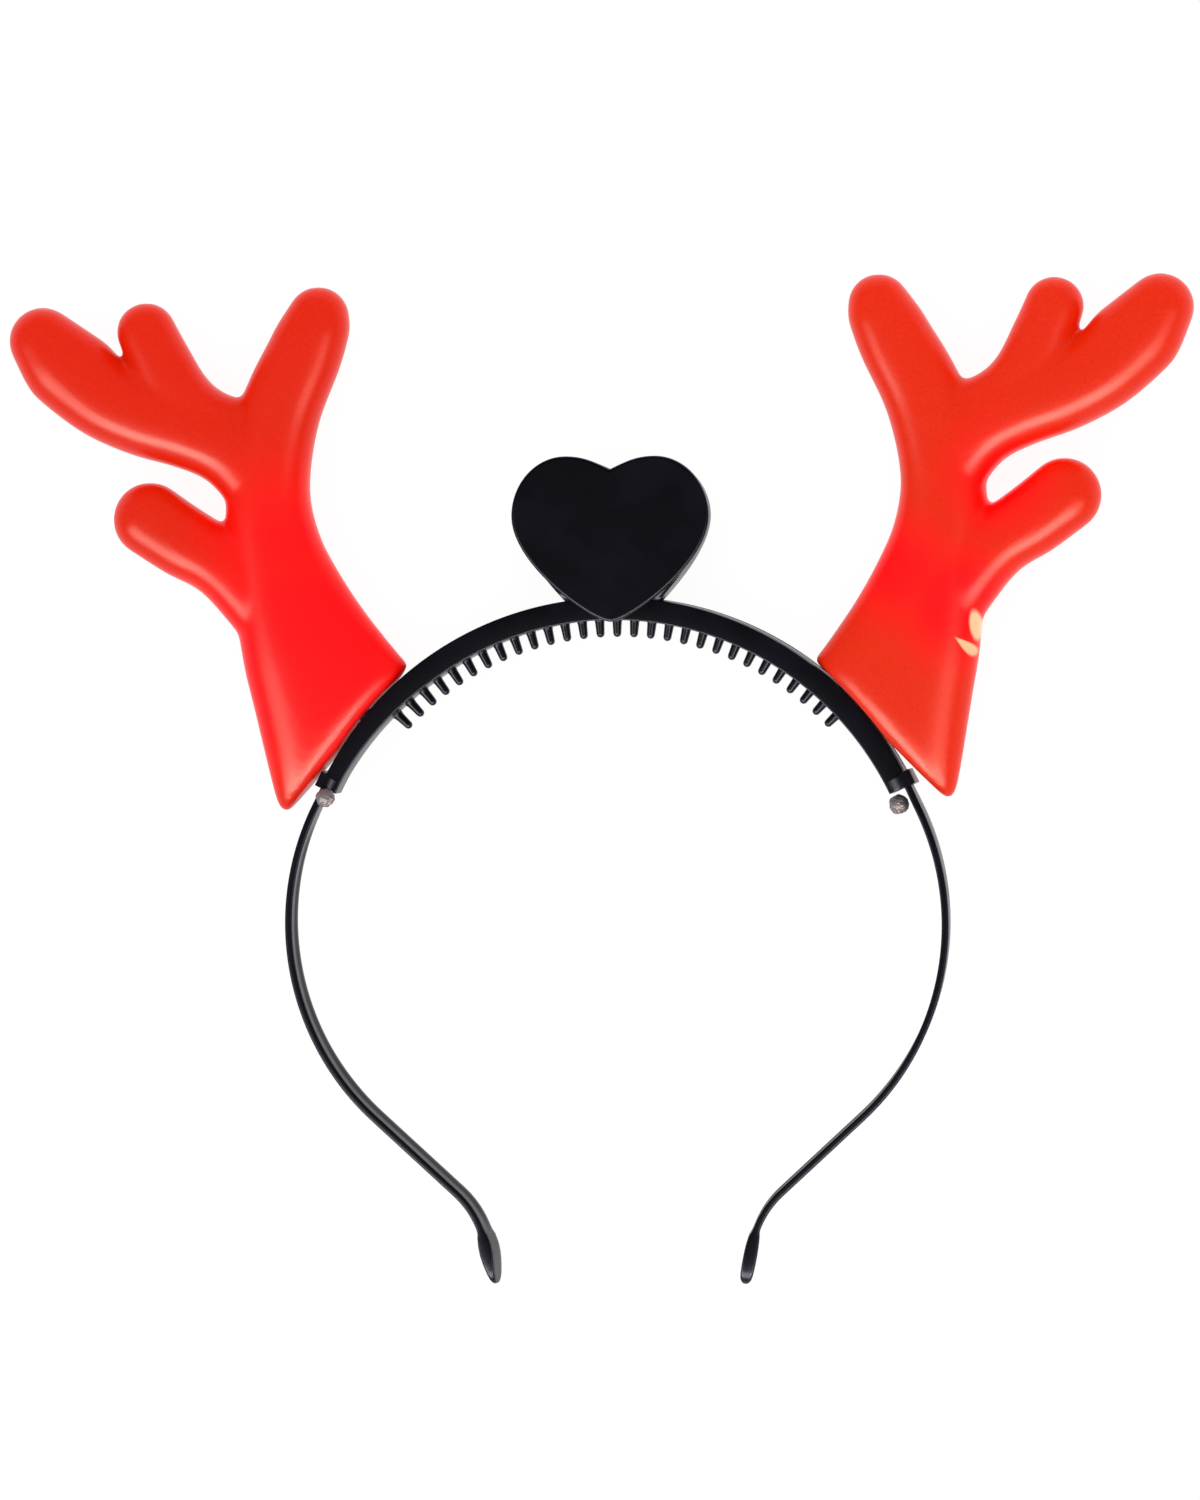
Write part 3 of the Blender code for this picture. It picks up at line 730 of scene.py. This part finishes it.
def comb_tree(tooth):
    """Sets copies of a tooth along an arc."""
    tree = bpy.data.node_groups.new("comb_of_teeth", "GeometryNodeTree")
    sockets = {}
    for name, kind, value in (("Teeth", "NodeSocketInt", TOOTH_COUNT),
                              ("Pitch", "NodeSocketFloat", TOOTH_PITCH),
                              ("Radius", "NodeSocketFloat", TOOTH_ROOT_RADIUS),
                              ("Set back", "NodeSocketFloat", TOOTH_Z),
                              ("Material", "NodeSocketMaterial", black_polypropylene)):
        socket = tree.interface.new_socket(name, in_out="INPUT", socket_type=kind)
        socket.default_value = value
        sockets[name] = socket.identifier
    tree.interface.new_socket("Geometry", in_out="OUTPUT", socket_type="NodeSocketGeometry")
    sizes = add_node(tree, "NodeGroupInput").outputs
    line = add_node(tree, "GeometryNodeMeshLine", {"Count": sizes["Teeth"]})
    last = add_node(tree, "ShaderNodeMath", {0: sizes["Teeth"], 1: 1.0}, operation="SUBTRACT")
    middle = add_node(tree, "ShaderNodeMath", {0: last.outputs[0], 1: 0.5}, operation="MULTIPLY")
    index = add_node(tree, "GeometryNodeInputIndex")
    from_middle = add_node(tree, "ShaderNodeMath", {0: index.outputs[0], 1: middle.outputs[0]},
                           operation="SUBTRACT")
    angle = add_node(tree, "ShaderNodeMath", {0: from_middle.outputs[0], 1: sizes["Pitch"]},
                     operation="MULTIPLY").outputs[0]
    reach = []
    for operation in ("SINE", "COSINE"):
        wave = add_node(tree, "ShaderNodeMath", {0: angle}, operation=operation)
        reach.append(add_node(tree, "ShaderNodeMath", {0: wave.outputs[0], 1: sizes["Radius"]},
                              operation="MULTIPLY").outputs[0])
    spot = add_node(tree, "ShaderNodeCombineXYZ",
                    {"X": reach[0], "Y": reach[1], "Z": sizes["Set back"]})
    arc = add_node(tree, "GeometryNodeSetPosition",
                   {"Geometry": line.outputs["Mesh"], "Position": spot.outputs["Vector"]})
    turn = add_node(tree, "ShaderNodeMath", {0: angle, 1: -1.0}, operation="MULTIPLY")
    rotation = add_node(tree, "ShaderNodeCombineXYZ", {"Z": turn.outputs[0]})
    source = add_node(tree, "GeometryNodeObjectInfo", {"Object": tooth})
    copies = add_node(tree, "GeometryNodeInstanceOnPoints",
                      {"Points": arc.outputs["Geometry"], "Instance": source.outputs["Geometry"],
                       "Rotation": rotation.outputs["Vector"]})
    real = add_node(tree, "GeometryNodeRealizeInstances", {"Geometry": copies.outputs[0]})
    coated = add_node(tree, "GeometryNodeSetMaterial",
                      {"Geometry": real.outputs["Geometry"], "Material": sizes["Material"]})
    add_node(tree, "NodeGroupOutput", {"Geometry": coated.outputs["Geometry"]})
    return tree, sockets


# %% The whole comb


def make_comb():
    tooth = make_tooth()
    tree, sockets = comb_tree(tooth)
    comb = bpy.data.objects.new("comb_teeth", bpy.data.meshes.new("comb_teeth"))
    bpy.context.scene.collection.objects.link(comb)
    modifier = comb.modifiers.new("comb", "NODES")
    modifier.node_group = tree
    modifier[sockets["Teeth"]] = TOOTH_COUNT
    freeze(comb)
    remove(tooth)
    comb.data.shade_smooth()
    return comb


settle(make_comb(), black_polypropylene, "black_plastic")

# %% [markdown]
# ## The heart
#
# The box for the cells stands on the crown with a broad foot, closed by a flat cover in front
# of the arch. The CAD box is a hollow cup, but its inside never shows, so a closed block is
# drawn here. Half of each outline is a short Bezier curve, and the other half is its mirror
# image. Both are drawn as rings that step inwards round their edges, which gives a clean soft
# rim without a bevel. Only the box's front edge, which meets the cover, stays sharp.

# %% The heart
HeartPoint = namedtuple("HeartPoint", "x y before_x before_y after_x after_y")
CASE_OUTLINE = (
    HeartPoint(0.0, 82.9, -2.8, 84.2, 2.8, 84.2),
    HeartPoint(7.9, 85.1, 4.8, 85.1, 12.9, 85.1),
    HeartPoint(17.4, 74.8, 17.4, 80.4, 17.4, 68.4),
    HeartPoint(0.0, 51.5, 9.6, 59.3, -9.6, 59.3),
)
COVER_OUTLINE = (
    HeartPoint(0.0, 83.3, -2.9, 84.7, 2.9, 84.7),
    HeartPoint(8.2, 85.7, 4.9, 85.7, 13.6, 85.7),
    HeartPoint(18.1, 74.8, 18.1, 80.8, 18.1, 66.0),
    HeartPoint(0.0, 55.6, 3.4, 55.6, -3.4, 55.6),
)
HEART_STEPS = 22
CASE_BACK_Z = -2.6 * MM
CASE_FRONT_Z = CHANNEL_WIDTH / 2
COVER_THICK = 1.6 * MM
COVER_EDGE = 0.55 * MM
CASE_BACK_EDGE = 0.4 * MM
COVER_BACK_EDGE = 0.2 * MM
FLAT_RIM = 0.12 * MM
DRUM_LENGTH = 40 * MM


def heart_points(table):
    """Points round a heart, clockwise from its notch."""
    right_half = []
    for start, end in zip(table, table[1:]):
        a, d = Vector((start.x, start.y)), Vector((end.x, end.y))
        b, c = Vector((start.after_x, start.after_y)), Vector((end.before_x, end.before_y))
        for i in range(HEART_STEPS):
            t = i / HEART_STEPS
            right_half.append(a * (1 - t) ** 3 + b * (3 * t * (1 - t) ** 2)
                              + c * (3 * t * t * (1 - t)) + d * t ** 3)
    right_half.append(Vector((table[-1].x, table[-1].y)))
    left_half = [Vector((-p.x, p.y)) for p in right_half[-2:0:-1]]
    return [p * MM for p in right_half + left_half]


# %% Blocks with soft edges


def inset_outline(points, inset):
    """The outline moved inwards by the same distance everywhere."""
    made = []
    for i, here in enumerate(points):
        into = (here - points[i - 1]).normalized()
        out = (points[(i + 1) % len(points)] - here).normalized()
        normals = [Vector((edge.y, -edge.x)) for edge in (into, out)]
        middle = (normals[0] + normals[1]).normalized()
        made.append(here + middle * (inset / max(middle.dot(normals[0]), 0.4)))
    return made


def heart_block(name, table, rows):
    """A heart-shaped block through rows of (inset, z)."""
    outline = heart_points(table)
    bm = bmesh.new()
    add_loft(bm, [[Vector((p.x, p.y, z)) for p in inset_outline(outline, inset)]
                  for inset, z in rows])
    return make_piece(name, bm, 40)


def soft_edge(z, radius, direction):
    """Rows of (inset, z) round a quarter circle, up to a face at z."""
    rows = []
    for step in range(5):
        angle = math.pi / 2 * step / 4
        rows.append((radius * (1 - math.cos(angle)), z - direction * radius * (1 - math.sin(angle))))
    rows.append((radius + FLAT_RIM, z))
    return rows if direction > 0 else rows[::-1]


def make_arch_drum(radius):
    """A drum round the arch's axis, which shapes the foot of what stands on the arch."""
    bm = bmesh.new()
    bmesh.ops.create_cone(bm, cap_ends=True, segments=360, radius1=radius, radius2=radius,
                          depth=DRUM_LENGTH)
    return make_piece("arch_drum", bm, 30)


# %% The box and its cover


def make_heart():
    rows = soft_edge(CASE_BACK_Z, CASE_BACK_EDGE, -1) + [(0.0, CASE_FRONT_Z)]
    case = heart_block("heart_box", CASE_OUTLINE, rows)
    drum = make_arch_drum(ARCH_RADIUS)
    cut(case, drum)
    freeze(case)
    remove(drum)
    front = CASE_FRONT_Z + GAP + COVER_THICK
    back = CASE_FRONT_Z + GAP
    rows = soft_edge(back, COVER_BACK_EDGE, -1) + soft_edge(front, COVER_EDGE, 1)
    cover = heart_block("heart_front", COVER_OUTLINE, rows)
    return case, cover


heart_box, heart_front = make_heart()
settle(heart_box, black_polypropylene, "black_plastic", "heart_case")
settle(heart_front, black_polypropylene, "black_plastic", "heart_cover")

# %% [markdown]
# ## The antlers
#
# Each real antler is one hollow PVC moulding: a flat stem that widens to a straight-cut base,
# and four blunt tines. The CAD skin has the wall, and only the outside is drawn here. Every
# branch is a row of sections, each from a point on one edge to the point across it. The
# branches are lofted on their own, fused by a voxel remesh, cut to stand on the arch, and
# smoothed until the joints between them look moulded.

# %% The antlers
Section = namedtuple("Section", "x1 y1 x2 y2 half_thick")
STEM = (
    Section(36.8, 47.8, 60.4, 23.1, 4.6),
    Section(36.6, 48.6, 61.3, 23.3, 5.9),
    Section(37.0, 49.3, 62.2, 24.6, 6.8),
    Section(38.3, 50.8, 63.2, 29.3, 7.7),
    Section(43.8, 58.6, 65.3, 41.7, 8.1),
    Section(48.2, 66.2, 66.8, 50.7, 8.0),
    Section(51.4, 73.6, 68.0, 65.5, 7.8),
    Section(52.5, 82.0, 68.1, 79.6, 7.6),
    Section(50.2, 93.0, 65.0, 95.5, 7.3),
    Section(45.6, 103.1, 62.1, 102.5, 7.1),
    Section(43.6, 108.6, 58.1, 109.1, 6.9),
    Section(43.1, 110.8, 56.4, 111.9, 6.7),
    Section(43.2, 113.2, 53.1, 116.3, 5.9),
)
LONG_TINE = (
    Section(54.5, 85.5, 67.0, 79.2, 6.8),
    Section(60.5, 93.5, 71.2, 84.3, 7.2),
    Section(68.5, 98.8, 76.8, 87.2, 7.4),
    Section(77.5, 103.0, 85.3, 90.2, 7.5),
    Section(84.4, 106.4, 93.5, 94.5, 7.4),
    Section(88.3, 110.6, 100.6, 100.4, 7.2),
    Section(91.3, 113.0, 103.3, 103.8, 7.1),
    Section(96.3, 116.8, 105.8, 109.8, 6.5),
)
SHORT_TINE = (
    Section(61.5, 98.0, 72.5, 88.9, 5.6),
    Section(67.0, 100.2, 78.3, 95.2, 6.3),
    Section(70.4, 103.4, 82.3, 100.2, 6.6),
    Section(73.5, 109.4, 84.5, 106.6, 6.3),
    Section(75.5, 113.6, 86.1, 111.3, 5.9),
)
LOWER_TINE = (
    Section(55.5, 67.0, 63.5, 50.4, 6.6),
    Section(61.0, 72.0, 68.3, 57.4, 6.9),
    Section(67.5, 75.5, 73.8, 64.2, 6.8),
    Section(73.4, 79.6, 80.0, 68.0, 6.6),
    Section(78.7, 83.8, 86.0, 72.3, 6.3),
)
print("sections in the antler's tables:",
      sum(len(rows) for rows in (STEM, LONG_TINE, SHORT_TINE, LOWER_TINE)))

# %% [markdown]
# ## Branches
#
# A table row gives two opposite points of an outline in millimetres, and how thick the branch is
# between them. A smooth curve through the rows fills in the sections between. Past the last row,
# the round tip starts with the slope that the sides already have, so no bulge shows where it
# begins.

# %% Branches
SECTION_SIDES = 36
SECTION_SQUARENESS = 2.2
SECTION_STEPS = 8
TIP_RINGS = 8
STEEPEST_TAPER = 0.6


def smooth_rows(rows):
    """Adds rows between those of a table, on a smooth curve through them all."""
    table = [Vector(row) for row in rows]
    table = [2 * table[0] - table[1], *table, 2 * table[-1] - table[-2]]
    result = [table[1]]
    for a, b, c, d in zip(table, table[1:], table[2:], table[3:]):
        for step in range(1, SECTION_STEPS + 1):
            t = step / SECTION_STEPS
            result.append(0.5 * (2 * b + (c - a) * t + (2 * a - 5 * b + 4 * c - d) * t * t
                                 + (3 * b - a - 3 * c + d) * t ** 3))
    return [Section(*row) for row in result]


def section_ring(middle, half_across, half_thick):
    """A rounded section whose faces are flatter than an ellipse's."""
    power = 2 / SECTION_SQUARENESS
    ring = []
    for side in range(SECTION_SIDES):
        around = math.tau * side / SECTION_SIDES
        c, s = math.cos(around), math.sin(around)
        across = math.copysign(abs(c) ** power, c)
        through = math.copysign(abs(s) ** power, s)
        ring.append(middle + half_across * across + Vector((0, 0, half_thick * through)))
    return ring


def add_branch(bm, rows):
    """One branch of an antler, with a round tip past its last section."""
    rings = []
    previous = None
    lean = 0.0
    for row in smooth_rows(rows):
        near = Vector((row.x1, row.y1, 0)) * MM
        far = Vector((row.x2, row.y2, 0)) * MM
        middle = (near + far) / 2
        half_across = (far - near) / 2
        rings.append(section_ring(middle, half_across, row.half_thick * MM))
        if previous:
            heading = middle - previous
            narrows = (half_before - half_across.length) / heading.length
            lean = math.asin(min(max(narrows, 0.0), STEEPEST_TAPER))
        previous = middle
        half_before = half_across.length
    onward = Vector((-half_across.y, half_across.x, 0)).normalized()
    onward *= math.copysign(half_across.length / math.cos(lean), onward.dot(heading))
    for i in range(1, TIP_RINGS + 1):
        angle = lean + (math.pi / 2 - lean) * i / (TIP_RINGS + 0.5)
        share = math.cos(angle) / math.cos(lean)
        rings.append(section_ring(middle + onward * (math.sin(angle) - math.sin(lean)),
                                  half_across * share, row.half_thick * MM * share))
    add_loft(bm, rings)


# %% [markdown]
# ## Whole antlers
#
# The left antler is the right one's mirror image, swung out a little further, as in the
# photograph. The voxel remesh makes one skin of the four branches, and the smoothing rounds the
# cut edge of the base.

# %% Whole antlers
ANTLER_VOXEL = 0.5 * MM
ANTLER_SMOOTHING = 23
ANTLER_SMOOTHING_SHARE = 0.5
ANTLER_SWING_LEFT = math.radians(1.5)
ANTLER_LEAN_LEFT = math.radians(1.9)
ANTLER_BASE = Vector((48.7, 35.3, 0.0)) * MM


def fuse(piece):
    """Makes one even skin of overlapping bodies."""
    remesh = piece.modifiers.new("fuse", "REMESH")
    remesh.mode = "VOXEL"
    remesh.voxel_size = ANTLER_VOXEL
    remesh.use_smooth_shade = True


def make_antler(side, drum):
    bm = bmesh.new()
    for rows in (STEM, LONG_TINE, SHORT_TINE, LOWER_TINE):
        add_branch(bm, rows)
    if side < 0:
        lean = (Matrix.Translation(ANTLER_BASE) @ Matrix.Rotation(-ANTLER_LEAN_LEFT, 4, "Z")
                @ Matrix.Translation(-ANTLER_BASE))
        mirror = Matrix.Scale(-1, 4, (1, 0, 0))
        bm.transform(Matrix.Rotation(ANTLER_SWING_LEFT, 4, "Z") @ mirror @ lean)
    antler = make_piece("soft_antler_right" if side > 0 else "soft_antler_left", bm, 180)
    fuse(antler)
    cut(antler, drum)
    fuse(antler)
    smooth = antler.modifiers.new("soft edges", "SMOOTH")
    smooth.iterations = ANTLER_SMOOTHING
    smooth.factor = ANTLER_SMOOTHING_SHARE
    freeze(antler)
    antler.data.shade_smooth()
    return antler


arch_drum = make_arch_drum(ARCH_RADIUS + 1.5 * GAP)
antler_left = make_antler(-1, arch_drum)
antler_right = make_antler(1, arch_drum)
remove(arch_drum)
settle(antler_left, red_pvc_left, "red_soft_plastic", "antler_left")
settle(antler_right, red_pvc_right, "red_soft_plastic", "antler_right")

# %% [markdown]
# ## The lumps of glue
#
# The right lump closes the channel's end under the band, and the left one is smeared on its
# front. A fine ball is pushed in and out by smooth noise, once in large dents and once in small
# ones, which is how a squeezed lump sets. Angles are from the crown in degrees, and the rest of
# the table is in millimetres.

# %% The lumps of glue
Blob = namedtuple("Blob", "name node side ring_radius angle z radius half_thick")
BLOBS = (
    Blob("glue_right", "glue_blob_right", 1, 56.3, 66.85, 0.0, 1.8, 1.8),
    Blob("glue_left", "glue_blob_left", -1, 58.0, 65.7, 5.55, 1.7, 1.35),
)


def make_blob(blob):
    middle = arch_direction(blob.side * math.radians(blob.angle)) * blob.ring_radius * MM
    middle.z = blob.z * MM
    bm = bmesh.new()
    bmesh.ops.create_icosphere(bm, subdivisions=5, radius=blob.radius * MM)
    for vert in bm.verts:
        seat = vert.co / MM + Vector((blob.side * 7.0, 0, 0))
        dents = noise.noise(seat * 0.9) * 0.14 + noise.noise(seat * 2.3) * 0.08
        vert.co *= 1 + dents
        vert.co.z *= blob.half_thick / blob.radius
    bm.transform(Matrix.Translation(middle))
    return make_piece(blob.name, bm, 180)


for blob in BLOBS:
    settle(make_blob(blob), set_glue, "grey_glue", blob.node)

# %% [markdown]
# ## The lamps
#
# Each lamp and its post are hidden inside an antler. The CAD pieces have the right shape, so
# they only get their finish.

# %% The lamps
for side in ("left", "right"):
    for node, material in ((f"lamp_{side}", lamp_epoxy), (f"lamp_post_{side}", black_polypropylene)):
        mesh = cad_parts[node].data
        mesh.materials.clear()
        mesh.materials.append(material)

# %% [markdown]
# ## Floor and light
#
# The photograph has an even white ground and almost no shadow, with a soft light from below the
# headband. It draws the long sheen along the lower side of every tine, and lights the inner
# faces of the band. A bright sky lights everything evenly, but it isn't mirrored, as if a
# polariser had taken its shine off. The sheen is drawn by a row of soft boxes that stand in an
# arc round the lower side. The white board under the headband shines a little itself, which
# keeps it white where the headband shades it.

# %% Floor and light
SKY_STRENGTH = 0.95
BOARD_HALF_SIZE = 3.0
BOARD_GLOW = 0.93
BOARD_WHITE = 0.12
SOFT_BOX_DISTANCE = 0.7
SOFT_BOX_HEIGHT = math.radians(36)
SOFT_BOX_SIZE = (0.36, 0.34)
SOFT_BOX_COLOUR = (1.0, 0.86, 0.70)
SoftBox = namedtuple("SoftBox", "azimuth power")
SOFT_BOXES = (
    SoftBox(-60.0, 5.0),
    SoftBox(-30.0, 9.0),
    SoftBox(0.0, 8.0),
    SoftBox(30.0, 8.0),
    SoftBox(60.0, 3.0),
)


def make_floor():
    bm = bmesh.new()
    bmesh.ops.create_grid(bm, x_segments=1, y_segments=1, size=BOARD_HALF_SIZE)
    floor = make_piece("floor", bm, 30)
    material, _, shader = new_material("white_board")
    shader.inputs["Base Color"].default_value = (BOARD_WHITE, BOARD_WHITE, BOARD_WHITE, 1.0)
    shader.inputs["Roughness"].default_value = 0.9
    shader.inputs["Specular IOR Level"].default_value = 0.0
    shader.inputs["Emission Color"].default_value = (1.0, 1.0, 1.0, 1.0)
    shader.inputs["Emission Strength"].default_value = BOARD_GLOW
    floor.data.materials.append(material)


def make_soft_box(azimuth, power):
    """A lamp that is only mirrored, at this azimuth from the side of the band's tips."""
    light = bpy.data.lights.new("soft_box", "AREA")
    light.shape = "RECTANGLE"
    light.size, light.size_y = SOFT_BOX_SIZE
    light.energy = power
    light.color = SOFT_BOX_COLOUR
    box = bpy.data.objects.new("soft_box", light)
    turn = math.radians(azimuth)
    towards = Vector((math.sin(turn) * math.cos(SOFT_BOX_HEIGHT),
                      -math.cos(turn) * math.cos(SOFT_BOX_HEIGHT), math.sin(SOFT_BOX_HEIGHT)))
    box.location = ARCH_CENTRE + VIEW_MIDDLE + towards * SOFT_BOX_DISTANCE
    box.rotation_euler = towards.to_track_quat("Z", "Y").to_euler()
    box.visible_diffuse = False
    bpy.context.scene.collection.objects.link(box)


make_floor()
for soft_box in SOFT_BOXES:
    make_soft_box(soft_box.azimuth, soft_box.power)
world = bpy.data.worlds.new("white_sky")
world.use_nodes = True
world.node_tree.nodes["Background"].inputs["Color"].default_value = (1.0, 1.0, 1.0, 1.0)
world.node_tree.nodes["Background"].inputs["Strength"].default_value = SKY_STRENGTH
world.cycles_visibility.glossy = False
bpy.context.scene.world = world
bpy.context.scene.view_settings.view_transform = "Standard"
print("soft boxes:", len(SOFT_BOXES))
